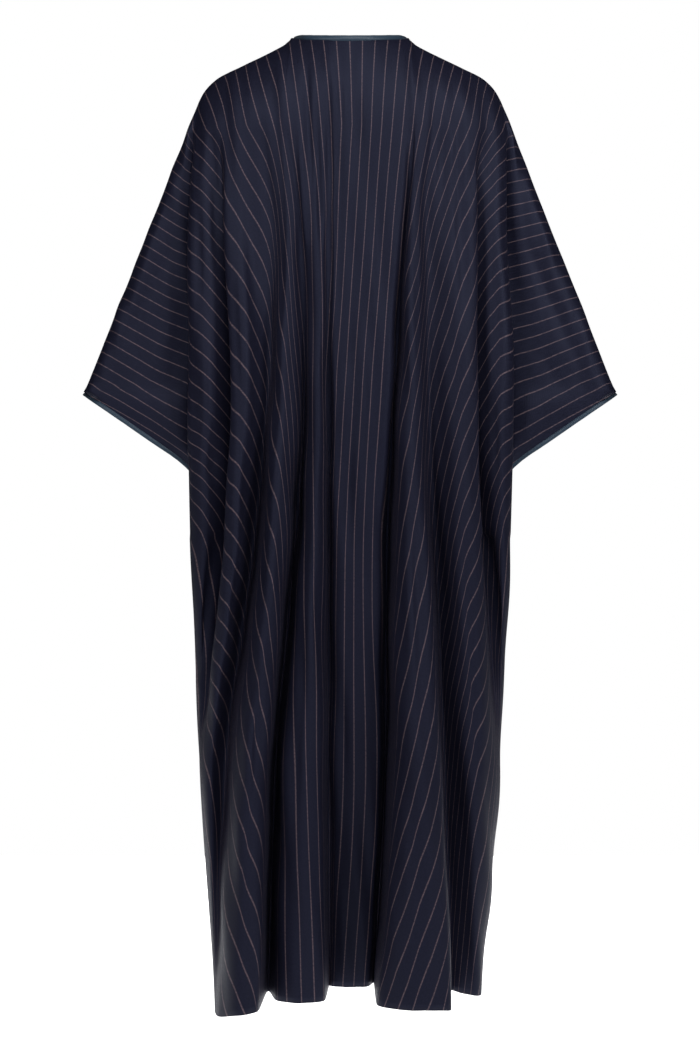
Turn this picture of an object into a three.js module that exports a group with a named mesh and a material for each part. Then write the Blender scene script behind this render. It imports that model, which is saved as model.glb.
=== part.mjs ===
// An open-fronted abaya in one width of striped suiting, cut like a kimono: back and fronts run on into
// wide sleeves without an armhole seam. It hangs as it is worn, arms lowered, around an empty body.
// Units are millimetres. +Z is up, -Y is the back, +X is the wearer's right. The origin lies between the
// two high shoulder points, where the garment is held.
import * as THREE from "three";

// Driving sizes
const LENGTH = 1365; // high shoulder point to hem
const CLOTH = 2; // wall of the suiting
const SEAM_GAP = 0.3; // between two pieces that are sewn together
const NECK = { half: 83, side: -6, backDepth: 77, backDrop: 20, frontDrop: 54 };
const V_NECK = { bottom: -175, curve: 1.15, halfOpening: 13 };
const SLEEVE = { slope: 0.394, halfDepth: 42, rounding: 45 }; // slope is run outwards per mm of drop
const UNDERARM_CLOSING = 150; // height over which the sleeve opening narrows to the underarm point
const BINDING = { neck: 8, front: 8, cuff: 6, proud: 0.5, edge: 1.2 }; // widths, stand-off, rounded edge

// The overarm seam: from the neck over the shoulder to its tip, where the straight arm begins.
const SHOULDER = [
  { x: 83, z: -6 },
  { x: 94, z: -16 },
  { x: 120, z: -30 },
  { x: 160, z: -49 },
  { x: 194, z: -66 },
  { x: 211, z: -84 },
  { x: 222, z: -106 },
];

// The edge of the sleeve opening, from the overarm seam in to the underarm point.
const CUFF_EDGE = [
  { z: -518, x: 384 },
  { z: -545, x: 344 },
  { z: -585, x: 286 },
  { z: -622, x: 234 },
  { z: -658, x: 204 },
  { z: -695, x: 190 },
  { z: -730, x: 186 },
];

// The side seam below the underarm point.
const SIDE_SEAM = [
  { z: -730, x: 186 },
  { z: -800, x: 209 },
  { z: -900, x: 213 },
  { z: -1060, x: 206 },
  { z: -1240, x: 193 },
  { z: -LENGTH, x: 184 },
];

// How far the hem hangs below the garment's length, from the left of the back to its right.
const HEM = [
  { x: -190, drop: 20 },
  { x: -150, drop: 4 },
  { x: -60, drop: -2 },
  { x: 100, drop: -1 },
  { x: 190, drop: 9 },
];
const HEM_ZONE = 300; // height over which the hem's line is let into the cloth

// Heights at which the fold tables give a line's place across, x, and its depth off the seam plane, d.
// At the first height the yoke, a half ring that is squarer than an ellipse, gives the depth.
const LEVELS = [-150, -300, -520, -760, -1060, -LENGTH];
const YOKE = { z: LEVELS[0], half: 239, back: 106, front: 98, power: 3 };

// Each row is a line that runs down the cloth, along a crest, a flank or a trough of a fold.
const BACK_FOLDS = [
  { line: "sleeve_crease_left", x: [-226, -213, -214, -210, -209, -184], d: [44, 52, 36, 24, 22] },
  { line: "outer_fold_edge_left", x: [-221, -230, -229, -226, -213, -187], d: [62, 76, 62, 42, 40] },
  { line: "outer_fold_face_left", x: [-205, -204, -200, -205, -213, -189], d: [82, 99, 94, 58, 58] },
  { line: "outer_fold_trough_left", x: [-188, -170, -156, -174, -211, -189], d: [70, 66, 67, 72, 76] },
  { line: "side_fold_edge_left", x: [-176, -176, -166, -178, -205, -189], d: [94, 113, 120, 90, 96] },
  { line: "side_fold_face_left", x: [-155, -154, -148, -160, -193, -188], d: [104, 126, 139, 108, 116] },
  { line: "side_fold_trough_left", x: [-122, -112, -116, -139, -176, -186], d: [93, 92, 80, 90, 134] },
  { line: "long_fold_edge_left", x: [-103, -94, -105, -122, -163, -180], d: [105, 119, 129, 137, 166] },
  { line: "long_fold_face_left", x: [-98, -86, -93, -106, -137, -150], d: [110, 130, 149, 175, 207] },
  { line: "long_fold_back_left", x: [-94, -76, -76, -91, -115, -124], d: [107, 118, 136, 155, 198] },
  { line: "deep_trough_left", x: [-89.4, -68, -64, -80, -106, -115], d: [99, 92, 68, 62, 86] },
  { line: "middle_fold_edge", x: [-70, -60, -56, -69, -93, -101], d: [104, 111, 109, 126, 142] },
  { line: "middle_fold_face", x: [-50, -47, -45, -51, -64, -66], d: [108, 120, 129, 149, 164] },
  { line: "middle_fold_back", x: [-38, -36, -36, -38, -39, -36], d: [107, 113, 114, 134, 150] },
  { line: "centre_trough_left", x: [-28, -28, -29, -30, -30, -30], d: [103, 100, 82, 70, 60] },
  { line: "centre_face_left", x: [-4, -3, -2, -3, -7, -7], d: [107, 111, 105, 86, 72] },
  { line: "centre_face_right", x: [30, 30, 27, 26, 22, 20], d: [107, 110, 103, 84, 70] },
  { line: "deep_trough_right", x: [89.4, 77, 62, 52, 50, 34], d: [96, 86, 64, 50, 48] },
  { line: "broad_fold_edge_left", x: [93, 82, 72, 65, 61, 38], d: [107, 112, 118, 140, 170] },
  { line: "broad_fold_face", x: [98, 88, 84, 85, 90, 84], d: [111, 124, 141, 172, 201] },
  { line: "broad_fold_edge_right", x: [105, 96, 98, 108, 126, 137], d: [107, 116, 128, 154, 188] },
  { line: "side_trough_right", x: [118, 110, 112, 122, 134, 143], d: [95, 92, 74, 64, 52] },
  { line: "side_fold_face_right", x: [150, 148, 150, 156, 172, 174], d: [104, 118, 121, 110, 88] },
  { line: "side_fold_edge_right", x: [176, 180, 178, 187, 196, 185], d: [90, 102, 100, 88, 74] },
  { line: "outer_fold_trough_right", x: [188, 172, 170, 190, 208, 187], d: [66, 60, 57, 66, 58] },
  { line: "outer_fold_face_right", x: [205, 206, 208, 214, 213, 187], d: [78, 94, 86, 50, 42] },
  { line: "outer_fold_edge_right", x: [221, 225, 231, 227, 213, 186], d: [58, 74, 60, 34, 28] },
  { line: "sleeve_crease_right", x: [226, 210, 214, 211, 210, 184], d: [42, 50, 34, 20, 16] },
];

// The lines of one front, from its sleeve to its free edge, with x counted outwards from the centre.
const FRONT_FOLDS = [
  { line: "sleeve_crease", x: [226, 211, 213, 210, 208, 184], d: [44, 52, 36, 22, 20] },
  { line: "outer_fold_edge", x: [221, 227, 229, 226, 212, 187], d: [62, 75, 60, 40, 40] },
  { line: "outer_fold_face", x: [205, 204, 202, 206, 210, 190], d: [86, 99, 92, 64, 66] },
  { line: "outer_fold_trough", x: [190, 172, 164, 180, 204, 188], d: [74, 66, 58, 78, 94] },
  { line: "side_fold_edge", x: [172, 168, 162, 172, 190, 182], d: [100, 108, 112, 112, 130] },
  { line: "side_fold_face", x: [152, 148, 142, 148, 160, 158], d: [116, 128, 140, 150, 168] },
  { line: "side_fold_back", x: [132, 128, 122, 124, 130, 128], d: [114, 116, 122, 130, 150] },
  { line: "breast_trough", x: [112, 108, 108, 112, 120, 116], d: [104, 90, 70, 60, 56] },
  { line: "breast_fold_face", x: [89.4, 82, 80, 84, 92, 92], d: [122, 126, 130, 138, 150] },
  { line: "breast_fold_back", x: [70, 62, 58, 60, 64, 66], d: [118, 120, 122, 128, 136] },
  { line: "inner_trough", x: [52, 46, 44, 44, 46, 48], d: [112, 98, 80, 66, 60] },
  { line: "inner_fold_face", x: [34, 30, 28, 28, 31, 33], d: [120, 118, 116, 118, 122] },
  { line: "front_edge", x: [13, 13, 13, 14, 17, 20], d: [117, 112, 104, 100, 100] },
];

// The fronts are one cut, turned over. Their folds differ: shift moves the middle ones outwards, and
// relief deepens or flattens them about the mean depth.
const FRONTS = [
  { side: "left", sign: -1, shift: 0, relief: 1 },
  { side: "right", sign: 1, shift: 6, relief: 0.94 },
];
const FRONT_MEAN_DEPTH = 115;
const FRONT_MIDDLE = 97; // how far out the middle of a front lies, where shift and relief tell most

// How finely the cloth is cut: the rows down each panel, and the steps between two of its lines.
const STEPS = 2;
const SLEEVE_SHARES = [0, 0.07, 0.24, 0.58]; // places between the seam and the sleeve crease
const BACK_TOP = { end: -150, shares: [0, 0.04, 0.14, 0.3, 0.6] };
const FRONT_TOP = { end: -215, shares: [0, 0.03, 0.1, 0.2, 0.36, 0.56, 0.78] };
const ROWS = [
  -150, -215, -300, -405, -518, -545, -585, -622, -658, -695, -730,
  -820, -935, -1060, -1210, -LENGTH,
];

const SUITING = { color: 0x23283a, roughness: 0.85, metalness: 0 };
const SATIN = { color: 0x34485c, roughness: 0.4, metalness: 0 };

const TIP = SHOULDER[SHOULDER.length - 1];
const CUFF_TIP = CUFF_EDGE[0];
const UNDERARM = CUFF_EDGE[CUFF_EDGE.length - 1];
const GAP = SEAM_GAP / 2; // each piece's share of the gap at a seam

const mix = (a, b, t) => a + (b - a) * t;
const clamp01 = (t) => Math.min(1, Math.max(0, t));
const roundOff = (t) => Math.sqrt(1 - (1 - clamp01(t)) ** 2);

// Value at a place between knots, on a smooth curve that doesn't overshoot. Knots may rise or fall.
function through(knots, values, at) {
  const last = knots.length - 1;
  const falling = knots[0] > knots[last];
  const past = (knot) => (falling ? at < knot : at > knot);
  let i = 0;
  while (i < last - 1 && past(knots[i + 1])) i++;
  const slope = (k) => (values[k + 1] - values[k]) / (knots[k + 1] - knots[k]);
  const tangent = (k) => {
    if (k === 0) return slope(0);
    if (k === last) return slope(last - 1);
    const before = slope(k - 1);
    const after = slope(k);
    return before * after <= 0 ? 0 : (2 * before * after) / (before + after);
  };
  const span = knots[i + 1] - knots[i];
  const t = clamp01((at - knots[i]) / span);
  const t2 = t * t;
  const t3 = t2 * t;
  return (
    (2 * t3 - 3 * t2 + 1) * values[i] +
    (t3 - 2 * t2 + t) * span * tangent(i) +
    (3 * t2 - 2 * t3) * values[i + 1] +
    (t3 - t2) * span * tangent(i + 1)
  );
}

const inTable = (table, from, to, at) => through(table.map((r) => r[from]), table.map((r) => r[to]), at);

// How far out the straight overarm seam has run at a height.
const overarm = (z) => TIP.x + (TIP.z - z) * SLEEVE.slope;

// Depth of the sleeve's flat side, rounded off where it comes over the arm.
function sleeveDepth(x, z) {
  const inside = (overarm(z) - x) / Math.hypot(1, SLEEVE.slope);
  const closing = roundOff((z - UNDERARM.z) / UNDERARM_CLOSING);
  return SLEEVE.halfDepth * roundOff(inside / SLEEVE.rounding) * closing;
}

// The outer border of a panel at a height: overarm seam, then sleeve opening, then side seam.
function border(z) {
  if (z >= CUFF_TIP.z) return { x: overarm(z), d: 0 };
  if (z <= UNDERARM.z) return { x: inTable(SIDE_SEAM, "z", "x", z), d: 0 };
  const x = inTable(CUFF_EDGE, "z", "x", z);
  return { x, d: sleeveDepth(x, z) };
}

// A line of a fold table as a function of height. It runs down from an apex, on the shoulder seam or on
// the ring of the neck, to the yoke and on through its row's places. The cloth is cut off at the line's top.
function foldLine(row, yokeDepth, neckDrop, cutTop) {
  const reach = Math.abs(row.x[0]) / YOKE.half;
  const yoke = { x: row.x[0], d: yokeDepth * Math.sqrt(1 - reach ** YOKE.power) };
  const apex = { x: row.x[0] * (TIP.x / YOKE.half) };
  const rise = Math.sqrt(Math.max(0, 1 - (apex.x / NECK.half) ** 2));
  apex.d = NECK.backDepth * rise;
  apex.z = rise > 0 ? NECK.side - neckDrop * rise : inTable(SHOULDER, "x", "z", Math.abs(apex.x));
  const at = (z) => {
    if (z <= YOKE.z) {
      return { x: through(LEVELS, row.x, z), d: through(LEVELS, [yoke.d, ...row.d], z) };
    }
    const t = clamp01((apex.z - z) / (apex.z - YOKE.z));
    const bulge = mix(roundOff(t), t * (2 - t), rise);
    return { x: mix(apex.x, yoke.x, t), d: mix(apex.d, yoke.d, bulge) };
  };
  return { at, top: cutTop ? cutTop(apex) : apex.z };
}

// Where a front is cut off: along the V neck, or at the shoulder seam.
function frontCut(apex) {
  if (apex.x >= NECK.half) return apex.z;
  const down = (NECK.half - apex.x) / (NECK.half - V_NECK.halfOpening);
  return mix(NECK.side, V_NECK.bottom, clamp01(down) ** V_NECK.curve);
}

// Points from the seam or the sleeve's edge in to the sleeve crease, on the side that sign gives.
function sleevePoints(sign, crease, z) {
  const edge = border(z);
  return SLEEVE_SHARES.map((share) => {
    const x = mix(edge.x, Math.abs(crease.x), share);
    const height = mix(z, crease.z, share);
    const flat = z > UNDERARM.z ? Math.min(crease.y, sleeveDepth(x, height)) : 0;
    const d = share === 0 ? edge.d : Math.max(mix(edge.d, crease.y, Math.sqrt(share)), flat);
    return new THREE.Vector3(sign * x, d, height);
  });
}

// A smooth curve along one row. At a seam it goes on into its mirror image, so both panels meet square.
function sampleRow(points, seamAtEnd) {
  const last = points.length - 1;
  const beyond = (at, next) =>
    at.y === 0 ? new THREE.Vector3(next.x, -next.y, next.z) : at.clone().multiplyScalar(2).sub(next);
  const all = [beyond(points[0], points[1]), ...points];
  if (seamAtEnd) all.push(beyond(points[last], points[last - 1]));
  const knots = all.map((_, i) => i - 1);
  const along = (axis, at) => through(knots, all.map((p) => p[axis]), at);
  const row = [];
  for (let i = 0; i <= last * STEPS; i++) {
    row.push(new THREE.Vector3(along("x", i / STEPS), along("y", i / STEPS), along("z", i / STEPS)));
  }
  return row;
}

// How far the hem's line moves a point down.
function hemShift(x, z) {
  return inTable(HEM, "x", "drop", x) * clamp01((HEM_ZONE - LENGTH - z) / HEM_ZONE) ** 2;
}

// The outer face of a panel as rows of points. facing is -1 for the back and 1 for a front.
function panelGrid(lines, top, facing) {
  const upper = top.shares.map((t) => ({
    seam: mix(TIP.z, top.end, t),
    heights: lines.map((line) => mix(line.top, top.end, t)),
  }));
  const lower = ROWS.filter((z) => z <= top.end).map((z) => ({ seam: z, heights: lines.map(() => z) }));
  const isBack = facing < 0;
  return [...upper, ...lower].map(({ seam, heights }) => {
    const across = lines.map((line, i) => {
      const p = line.at(heights[i]);
      return new THREE.Vector3(p.x, p.d, heights[i]);
    });
    const points = [...sleevePoints(isBack ? -1 : 1, across[0], seam), ...across];
    if (isBack) points.push(...sleevePoints(1, across[across.length - 1], seam).reverse());
    return sampleRow(points, isBack).map((p) => {
      const z = p.z - (isBack ? hemShift(p.x, p.z) : 0);
      return new THREE.Vector3(p.x, facing * Math.max(GAP, p.y), z);
    });
  });
}

// Directions square to a grid's outer face, the mean of the fours around each point. On a seam they lie in
// the seam's plane.
function gridNormals(grid, sign) {
  const normals = grid.map((row) => row.map(() => new THREE.Vector3()));
  for (let r = 0; r < grid.length - 1; r++) {
    for (let c = 0; c < grid[0].length - 1; c++) {
      const falling = grid[r + 1][c + 1].clone().sub(grid[r][c]);
      const rising = grid[r][c + 1].clone().sub(grid[r + 1][c]);
      const square = falling.cross(rising).normalize().multiplyScalar(sign);
      for (const corner of [normals[r][c], normals[r + 1][c], normals[r][c + 1], normals[r + 1][c + 1]]) {
        corner.add(square);
      }
    }
  }
  grid.forEach((row, r) => row.forEach((p, c) => Math.abs(p.y) <= GAP && (normals[r][c].y = 0)));
  normals.flat().forEach((n) => n.normalize());
  return normals;
}

// A closed mesh through rings of points, each four parted along its shorter diagonal. Open sweeps get a cap
// at each end.
function sweep(rings, closed = false) {
  const n = rings[0].length;
  const count = rings.length;
  const points = rings.flat();
  const index = [];
  const quad = (a, b, c, d) => {
    const alongAC = points[a].distanceTo(points[c]) <= points[b].distanceTo(points[d]);
    index.push(...(alongAC ? [a, b, c, a, c, d] : [a, b, d, b, c, d]));
  };
  for (let r = 0; r < (closed ? count : count - 1); r++) {
    const next = ((r + 1) % count) * n;
    for (let i = 0; i < n; i++) quad(r * n + i, next + i, next + ((i + 1) % n), r * n + ((i + 1) % n));
  }
  for (let i = 0; !closed && i + 1 <= n - 2 - i; i++) {
    const [a, b, c, d] = [i, i + 1, n - 2 - i, n - 1 - i];
    const end = (count - 1) * n;
    if (b === c) index.push(a, b, d, end + a, end + d, end + b);
    else {
      quad(a, b, c, d);
      quad(end + d, end + c, end + b, end + a);
    }
  }
  const geometry = new THREE.BufferGeometry().setFromPoints(points);
  geometry.setIndex(signedVolume(points, index) > 0 ? index : index.reverse());
  geometry.computeVertexNormals();
  return geometry;
}

function signedVolume(points, index) {
  let sum = 0;
  for (let i = 0; i < index.length; i += 3) {
    const [a, b, c] = [points[index[i]], points[index[i + 1]], points[index[i + 2]]];
    sum += a.dot(b.clone().cross(c)) / 6;
  }
  return sum;
}

// A panel's wall: its outer face, and the same face moved in by the cloth, kept on its side of the seams.
function clothWall(panel) {
  const rings = panel.grid.map((row, r) => {
    const inner = row.map((p, c) => {
      const q = p.clone().addScaledVector(panel.normals[r][c], -CLOTH);
      q.y = panel.facing * Math.max(GAP, q.y * panel.facing);
      return q;
    });
    return [...row, ...inner.reverse()];
  });
  return sweep(rings);
}

// A strip folded over a cloth's edge. edge is a chain of points with the cloth's normal at each, and side
// says on which hand of the chain the open air lies.
function bindingStrip(edge, width, side, closed = false) {
  const high = BINDING.proud;
  const low = -CLOTH - BINDING.proud;
  const section = [
    [SEAM_GAP, high],
    [SEAM_GAP + width - BINDING.edge, high],
    [SEAM_GAP + width, (high + low) / 2],
    [SEAM_GAP + width - BINDING.edge, low],
    [SEAM_GAP, low],
  ];
  const last = edge.length - 1;
  const rings = edge.map(({ point, normal }, i) => {
    const before = edge[i > 0 ? i - 1 : closed ? last : 0].point;
    const after = edge[i < last ? i + 1 : closed ? 0 : last].point;
    const along = after.clone().sub(before);
    const atSeam = Math.abs(point.y) <= GAP;
    if (atSeam) along.set(0, Math.sign(along.y), 0);
    const out = new THREE.Vector3().crossVectors(normal, along).normalize().multiplyScalar(side);
    return section.map(([w, h]) => point.clone().addScaledVector(out, w).addScaledVector(normal, h));
  });
  return sweep(rings, closed);
}

const group = new THREE.Group();

function addPiece(name, geometry, finish) {
  const mesh = new THREE.Mesh(geometry, new THREE.MeshStandardMaterial({ ...finish, name }));
  mesh.name = name;
  group.add(mesh);
}

function makeBack() {
  const lines = BACK_FOLDS.map((row) => foldLine(row, YOKE.back, NECK.backDrop));
  const grid = panelGrid(lines, BACK_TOP, -1);
  return { grid, normals: gridNormals(grid, 1), facing: -1 };
}

function makeFront({ sign, shift, relief }) {
  const rows = FRONT_FOLDS.map((row) => {
    const middle = Math.sin(Math.PI * clamp01(row.x[1] / (2 * FRONT_MIDDLE)));
    const x = row.x.map((v, level) => (level > 0 ? v + shift * middle : v));
    const d = row.d.map((v) => mix(v, FRONT_MEAN_DEPTH + (v - FRONT_MEAN_DEPTH) * relief, middle));
    return { x, d };
  });
  const lines = rows.map((row) => foldLine(row, YOKE.front, NECK.frontDrop, frontCut));
  const grid = panelGrid(lines, FRONT_TOP, 1);
  grid.flat().forEach((p) => (p.x *= sign));
  return { grid, normals: gridNormals(grid, sign), facing: 1 };
}

const isOverSeam = (point) => Math.abs(point.x) > NECK.half - SEAM_GAP;
const edgePoint = (panel, r, c) => ({ point: panel.grid[r][c], normal: panel.normals[r][c] });

// The part of a panel's top row that isn't sewn to its neighbour.
function neckEdge(panel) {
  const last = panel.grid[0].length - 1;
  const edge = [];
  for (let c = 0; c <= last; c++) {
    const next = panel.grid[0][Math.min(last, c + 1)];
    const before = panel.grid[0][Math.max(0, c - 1)];
    if (!isOverSeam(panel.grid[0][c]) || !isOverSeam(next) || !isOverSeam(before)) {
      edge.push(edgePoint(panel, 0, c));
    }
  }
  return edge;
}

// The border points of one panel along a sleeve opening, from the overarm seam to the underarm point.
function cuffEdge(panel, column) {
  const edge = [];
  panel.grid.forEach((row, r) => {
    const z = row[column].z;
    if (z <= CUFF_TIP.z && z >= UNDERARM.z) edge.push(edgePoint(panel, r, column));
  });
  return edge;
}

const back = makeBack();
addPiece("back_panel", clothWall(back), SUITING);
addPiece("neck_binding", bindingStrip(neckEdge(back), BINDING.neck, 1), SATIN);

for (const spec of FRONTS) {
  const front = makeFront(spec);
  addPiece("front_" + spec.side, clothWall(front), SUITING);
  const last = front.grid[0].length - 1;
  const freeEdge = front.grid.slice(1).map((row, i) => edgePoint(front, i + 1, last));
  const chain = [...neckEdge(front), ...freeEdge];
  addPiece("front_binding_" + spec.side, bindingStrip(chain, BINDING.front, spec.sign), SATIN);

  const backHalf = cuffEdge(back, spec.sign < 0 ? 0 : back.grid[0].length - 1);
  const frontHalf = cuffEdge(front, 0);
  const seamPoint = ({ point, normal }) => ({ point: point.clone().setY(0), normal });
  const loop = [
    seamPoint(backHalf[0]),
    ...backHalf.slice(1, -1),
    seamPoint(backHalf[backHalf.length - 1]),
    ...frontHalf.slice(1, -1).reverse(),
  ];
  addPiece("cuff_binding_" + spec.side, bindingStrip(loop, BINDING.cuff, spec.sign, true), SATIN);
}

export default group;
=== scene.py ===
import math

import bpy
import numpy as np
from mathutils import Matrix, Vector


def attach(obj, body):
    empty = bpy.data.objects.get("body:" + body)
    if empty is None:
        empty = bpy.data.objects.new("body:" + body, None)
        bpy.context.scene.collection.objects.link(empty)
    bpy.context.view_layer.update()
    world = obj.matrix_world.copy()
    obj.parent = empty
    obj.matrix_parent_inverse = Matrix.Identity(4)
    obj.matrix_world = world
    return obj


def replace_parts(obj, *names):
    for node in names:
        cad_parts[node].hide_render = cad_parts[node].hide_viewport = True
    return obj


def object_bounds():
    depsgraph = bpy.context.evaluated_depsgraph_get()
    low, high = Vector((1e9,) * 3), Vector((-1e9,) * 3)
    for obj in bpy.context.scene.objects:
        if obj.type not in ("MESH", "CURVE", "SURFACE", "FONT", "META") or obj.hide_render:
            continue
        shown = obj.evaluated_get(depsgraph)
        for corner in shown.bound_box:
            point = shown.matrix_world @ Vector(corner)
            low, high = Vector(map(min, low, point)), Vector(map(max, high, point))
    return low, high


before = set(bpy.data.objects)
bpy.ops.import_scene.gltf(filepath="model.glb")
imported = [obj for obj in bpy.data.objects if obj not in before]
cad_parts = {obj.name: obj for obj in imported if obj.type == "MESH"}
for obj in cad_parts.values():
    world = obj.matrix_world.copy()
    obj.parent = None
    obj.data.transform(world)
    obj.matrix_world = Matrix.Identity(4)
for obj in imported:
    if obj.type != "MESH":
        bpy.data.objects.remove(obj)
cad_low, cad_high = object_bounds()

MM = 0.001
LENGTH = 1365  # high shoulder point to hem
CLOTH = 1.3  # wall of the suiting as it shows
SEAM_GAP = 0.04
NECK = {"half": 83, "side": -6, "back_depth": 77, "back_drop": 20, "front_drop": 54}
V_NECK = {"bottom": -175, "curve": 1.15, "half_opening": 13}
SLEEVE = {"slope": 0.394, "half_depth": 42, "rounding": 24, "dip": 18}
DIP_RUN = 100  # above the underarm, over which the sleeve starts to dip towards its crease
DIP_FADE = 60  # below the shoulder's tip, over which that dip ends
UNDERARM_CLOSING = 150  # above the underarm, over which the sleeve's depth closes to nothing
# The bindings: their widths past the cloth's edge, the lap over the cloth, how far the satin stands off
# it on both sides, and how much it swells at a share of its width
BINDING = {"neck": 7.7, "front": 7.7, "cuff": 4.8}
LAP = 1.6
SATIN = {"off": 0.5, "swell": 0.15, "swell_at": 0.45, "fold_points": 7}
PUCKERS = [(0.072, 4.1, 0), (0.048, 2.3, 1)]  # depth, run for each radian, and phase
# The neck binding stands up and leans in, and shortens to its least share beside the shoulder points
NECK_STAND = {"lean": 0.3, "least": 0.35, "run": 16}
V_LIE = 60  # down a front's edge, over which its binding turns from standing to lying
CUFF_OUT = (0.7, -0.714)  # across and up, the way the right sleeve points, mirrored for the left
STITCH = {"Pitch": 2.6, "Stitch Length": 1.9, "Thread Radius": 0.22}
STITCH_LINE = {"in": 0.5, "off": 0.6}  # inwards from the cloth's edge, and off the cloth

# The overarm seam, x to z, from the neck to the tip where the straight arm begins
SHOULDER = [(83, -6), (94, -16), (120, -30), (160, -49), (194, -66), (211, -84), (222, -106)]
# The edge of the sleeve opening and the side seam below it, z to x
CUFF_EDGE = [(-518, 384), (-545, 344), (-585, 286), (-622, 234), (-658, 204), (-695, 190), (-730, 186)]
SIDE_SEAM = [(-730, 186), (-800, 209), (-900, 213), (-1060, 206), (-1240, 193), (-LENGTH, 184)]
# How far the hem hangs below the length, x to drop
HEM = [(-190, 20), (-150, 4), (-60, -2), (100, -1), (190, 9)]
HEM_ZONE = 300

# Heights of the fold tables. A row is a line down the cloth along a crest, a flank or a trough:
# its places across, its depths off the seam plane below the yoke, and its pinstripe number.
LEVELS = [-150, -300, -520, -760, -1060, -LENGTH]
YOKE = {"z": LEVELS[0], "half": 239, "back": 106, "front": 98, "power": 3}
BACK_FOLDS = [
    ("sleeve crease left", [-226, -213, -214, -210, -209, -184], [32, 36, 34, 24, 22],
     [15.2, 23.8, 35.5, 44.2, 40.6, 40.6]),
    ("outer fold edge left", [-221, -230, -229, -226, -213, -187], [62, 76, 62, 42, 40],
     [14.9, 21.5, 29.9, 39.8, 40.4, 40.4]),
    ("outer fold face left", [-205, -204, -200, -205, -213, -189], [82, 99, 94, 58, 58],
     [14.1, 20.3, 28.7, 38.5, 40.0, 40.1]),
    ("outer fold trough left", [-188, -170, -156, -174, -211, -189], [70, 66, 67, 72, 76],
     [13.1, 18.2, 25.8, 35.8, 39.0, 39.6]),
    ("side fold edge left", [-176, -176, -166, -178, -205, -189], [94, 113, 120, 90, 96],
     [12.2, 15.5, 20.5, 27.8, 36.5, 38.9]),
    ("side fold face left", [-155, -154, -148, -160, -193, -188], [104, 126, 139, 108, 116],
     [10.6, 14.4, 19.8, 26.9, 35.8, 38.0]),
    ("side fold trough left", [-122, -112, -116, -139, -176, -186], [93, 92, 80, 90, 134],
     [8.8, 12.3, 17.6, 25.2, 34.2, 35.5]),
    ("long fold edge left", [-103, -94, -105, -122, -163, -180], [105, 119, 129, 137, 166],
     [7.7, 9.2, 12.9, 17.6, 24.2, 29.9]),
    ("long fold face left", [-98, -86, -93, -106, -137, -150], [110, 130, 149, 175, 207],
     [7.1, 8.4, 12.1, 16.6, 22.5, 28.4]),
    ("long fold back left", [-94, -76, -76, -91, -115, -124], [107, 118, 136, 155, 198],
     [6.8, 7.0, 9.8, 14.8, 21.0, 26.9]),
    ("deep trough left", [-89.4, -68, -64, -80, -106, -115], [99, 92, 68, 62, 86],
     [6.4, 6.2, 7.5, 10.5, 14.5, 18.0]),
    ("middle fold edge", [-70, -60, -56, -69, -93, -101], [104, 111, 109, 126, 142],
     [5.1, 5.6, 5.5, 6.5, 8.2, 9.2]),
    ("middle fold face", [-50, -47, -45, -51, -64, -66], [108, 120, 129, 149, 164],
     [3.7, 4.5, 4.5, 5.1, 6.3, 7.0]),
    ("middle fold back", [-38, -36, -36, -38, -39, -36], [107, 113, 114, 134, 150],
     [2.8, 3.5, 3.8, 4.0, 4.3, 4.9]),
    ("centre trough left", [-28, -28, -29, -30, -30, -30], [103, 100, 82, 70, 60],
     [2.1, 2.3, 1.6, 1.5, 1.4, 1.2]),
    ("centre trough edge", [-21, -21, -21, -21, -21, -21], [108, 108, 98, 80, 68],
     [1.6, 1.4, 0.2, -0.7, -1.2, -2.3]),
    ("centre face left", [-4, -3, -2, -3, -7, -7], [107, 111, 105, 86, 72],
     [0.5, -0.2, -1.4, -2.3, -2.2, -3.2]),
    ("centre face right", [30, 30, 27, 26, 22, 20], [107, 110, 103, 84, 70],
     [-2.0, -2.7, -3.8, -4.6, -4.0, -5.0]),
    ("centre face edge", [80, 67, 52, 42, 40, 26], [106, 106, 98, 80, 66],
     [-5.4, -5.6, -5.6, -5.9, -5.2, -5.5]),
    ("deep trough right", [89.4, 77, 62, 52, 50, 34], [90, 80, 60, 46, 42],
     [-6.1, -6.4, -6.3, -6.4, -7.0, -7.2]),
    ("broad fold edge left", [93, 82, 72, 65, 61, 38], [107, 112, 118, 140, 170],
     [-6.4, -7.9, -12.0, -14.8, -18.5, -22.6]),
    ("broad fold face", [98, 88, 84, 85, 90, 84], [111, 124, 141, 172, 201],
     [-6.8, -8.4, -13.1, -16.4, -20.9, -26.0]),
    ("broad fold edge right", [105, 96, 98, 108, 126, 137], [107, 116, 128, 154, 188],
     [-7.3, -9.1, -14.4, -18.0, -23.3, -29.0]),
    ("side trough right", [118, 110, 112, 122, 134, 143], [95, 90, 74, 72, 70],
     [-8.3, -11.6, -16.9, -21.5, -28.0, -33.0]),
    ("side fold face right", [150, 148, 150, 156, 172, 174], [104, 118, 121, 107, 85],
     [-10.8, -14.7, -19.8, -25.7, -33.7, -37.5]),
    ("side fold edge right", [176, 180, 178, 187, 196, 185], [90, 102, 100, 88, 74],
     [-12.5, -17.0, -22.0, -28.2, -35.1, -38.5]),
    ("outer fold trough right", [188, 172, 170, 190, 208, 187], [66, 60, 57, 66, 58],
     [-13.5, -20.0, -28.0, -35.0, -37.5, -40.0]),
    ("outer fold face right", [205, 206, 208, 214, 213, 187], [78, 94, 86, 50, 42],
     [-15.2, -22.5, -31.6, -39.5, -40.2, -41.0]),
    ("outer fold edge right", [221, 225, 231, 227, 213, 186], [58, 74, 60, 34, 28],
     [-16.3, -23.3, -32.4, -41.0, -41.2, -41.4]),
    ("sleeve crease right", [226, 210, 214, 211, 210, 184], [30, 34, 32, 20, 16],
     [-16.6, -25.3, -36.6, -44.8, -41.5, -41.5]),
]
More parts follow.
